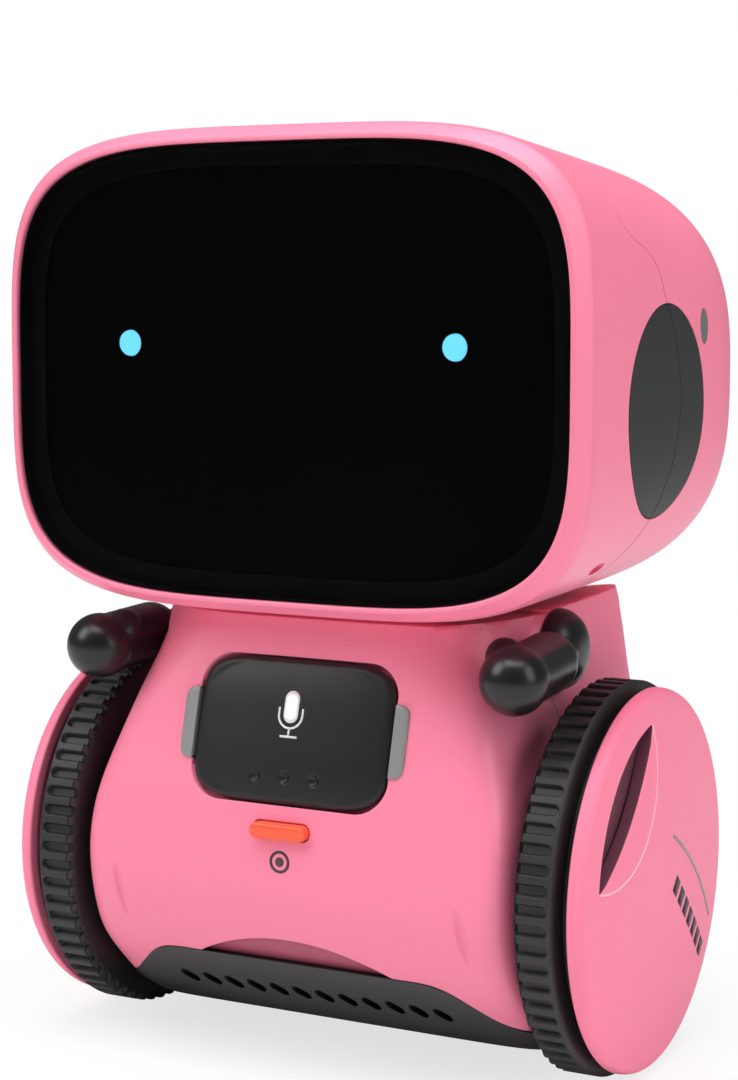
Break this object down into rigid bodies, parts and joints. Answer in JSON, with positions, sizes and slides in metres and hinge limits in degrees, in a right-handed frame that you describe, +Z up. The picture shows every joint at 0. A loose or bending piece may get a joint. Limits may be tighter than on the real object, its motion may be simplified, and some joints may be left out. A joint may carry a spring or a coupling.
{
  "type": "desktop robot toy",
  "caption": "Wheeled desktop robot toy with a screen face on a turning head, swinging arms, chest buttons and a rear roller, built as separate shells and fittings.",
  "frame": {"origin": "on the floor, midway between the wheels, below their axis", "axes": "+X towards the robot's left, -Y the way it faces, +Z up"},
  "size_m": [0.0842, 0.0714, 0.12],
  "materials": {
    "shell_pink": "fine satin moulding",
    "cap_pink": "semi-gloss moulding",
    "black_satin": "satin black moulding",
    "screen": "dark tinted, polished",
    "mask_black": "printed black",
    "eye_glow": "lit cyan diffuser",
    "ear_grey": "satin dark grey",
    "lens_grey": "smoked window",
    "orange": "semi-gloss orange",
    "light_guide": "frosted light guide",
    "tyre": "moulded rubber",
    "rim_black": "satin black",
    "board": "green solder mask",
    "switch_black": "plain black",
    "steel": "bright steel",
    "motor_can": "zinc-plated can",
    "white_plastic": "natural acetal",
    "cell": "printed sleeve, plain",
    "contact": "nickel-plated brass",
    "copper": "copper foil",
    "cable": "black jacket",
    "speaker": "black basket and cone"
  },
  "bodies": {
    "torso": {"neck_bush": "white_plastic", "neck_cable": "cable", "torso_front_shell": "shell_pink", "torso_back_shell": "shell_pink", "torso_screws": "steel", "lower_bumper": "black_satin", "base_plate": "black_satin", "battery_door": "black_satin", "battery_door_screw": "steel", "chest_light_bar": "light_guide", "main_board": "board", "voice_switches": "switch_black", "record_switch": "switch_black", "microphone": "steel", "speaker": "speaker", "battery_cells": "cell", "battery_contacts": "contact", "battery_holder": "switch_black", "power_switch_body": "switch_black", "roller_fork": "black_satin", "roller_pin": "steel", "axle_bushes": "white_plastic", "left_motor": "motor_can", "right_motor": "motor_can", "gear_frames": "white_plastic"},
    "head": {"head_front_shell": "shell_pink", "head_back_shell": "shell_pink", "head_screws": "steel", "left_ear_front": "ear_grey", "left_ear_back": "ear_grey", "right_ear_front": "ear_grey", "right_ear_back": "ear_grey", "side_lenses": "lens_grey", "screen_lens": "screen", "screen_mask": "mask_black", "display_board": "board", "eye_lights": "eye_glow", "touch_plate": "copper", "neck_spindle": "white_plastic", "neck_ring": "steel"},
    "voice_button": {"voice_button": "black_satin"},
    "record_button": {"record_button": "orange"},
    "power_switch_slider": {"power_switch_slider": "white_plastic"},
    "roller": {"roller": "switch_black"},
    "left_arm": {"left_arm": "black_satin", "left_arm_screw": "steel"},
    "left_wheel": {"left_tyre": "tyre", "left_rim": "rim_black", "left_wheel_cap": "cap_pink", "left_axle": "steel", "left_axle_gear": "white_plastic"},
    "left_pinion": {"left_motor_pinion": "white_plastic"},
    "right_arm": {"right_arm": "black_satin", "right_arm_screw": "steel"},
    "right_wheel": {"right_tyre": "tyre", "right_rim": "rim_black", "right_wheel_cap": "cap_pink", "right_axle": "steel", "right_axle_gear": "white_plastic"},
    "right_pinion": {"right_motor_pinion": "white_plastic"}
  },
  "joints": [
    {"name": "head_turn", "type": "hinge", "parent": "torso", "child": "head", "pos_m": [0, 0, 0.0555], "axis": [0, 0, 1], "range_deg": [-45, 45]},
    {"name": "left_arm_swing", "type": "hinge", "parent": "torso", "child": "left_arm", "pos_m": [0.02625, 0, 0.0539], "axis": [1, 0, 0], "range_deg": [-3, 6]},
    {"name": "right_arm_swing", "type": "hinge", "parent": "torso", "child": "right_arm", "pos_m": [-0.02625, 0, 0.0539], "axis": [1, 0, 0], "range_deg": [-3, 6]},
    {"name": "left_wheel_spin", "type": "hinge", "parent": "torso", "child": "left_wheel", "pos_m": [0.0345, 0, 0.0252], "axis": [1, 0, 0], "continuous": true},
    {"name": "right_wheel_spin", "type": "hinge", "parent": "torso", "child": "right_wheel", "pos_m": [-0.0345, 0, 0.0252], "axis": [1, 0, 0], "continuous": true},
    {"name": "left_pinion_spin", "type": "hinge", "parent": "torso", "child": "left_pinion", "pos_m": [0.0244, 0, 0.04035], "axis": [1, 0, 0], "continuous": true},
    {"name": "right_pinion_spin", "type": "hinge", "parent": "torso", "child": "right_pinion", "pos_m": [-0.0244, 0, 0.04035], "axis": [1, 0, 0], "continuous": true},
    {"name": "roller_spin", "type": "hinge", "parent": "torso", "child": "roller", "pos_m": [0, 0.0206, 0.0034], "axis": [1, 0, 0], "continuous": true},
    {"name": "voice_button_press", "type": "slide", "parent": "torso", "child": "voice_button", "axis": [0, 0.9659, -0.2588], "range_m": [0, 0.0008], "stiffness_N_per_m": 400},
    {"name": "record_button_press", "type": "slide", "parent": "torso", "child": "record_button", "axis": [0, 1, 0], "range_m": [0, 0.0008], "stiffness_N_per_m": 400},
    {"name": "power_switch_slide", "type": "slide", "parent": "torso", "child": "power_switch_slider", "axis": [1, 0, 0], "range_m": [0, 0.0025]}
  ],
  "couplings": [
    {"joint": "left_pinion_spin", "follows": "left_wheel_spin", "ratio": -5},
    {"joint": "right_pinion_spin", "follows": "right_wheel_spin", "ratio": -5}
  ]
}
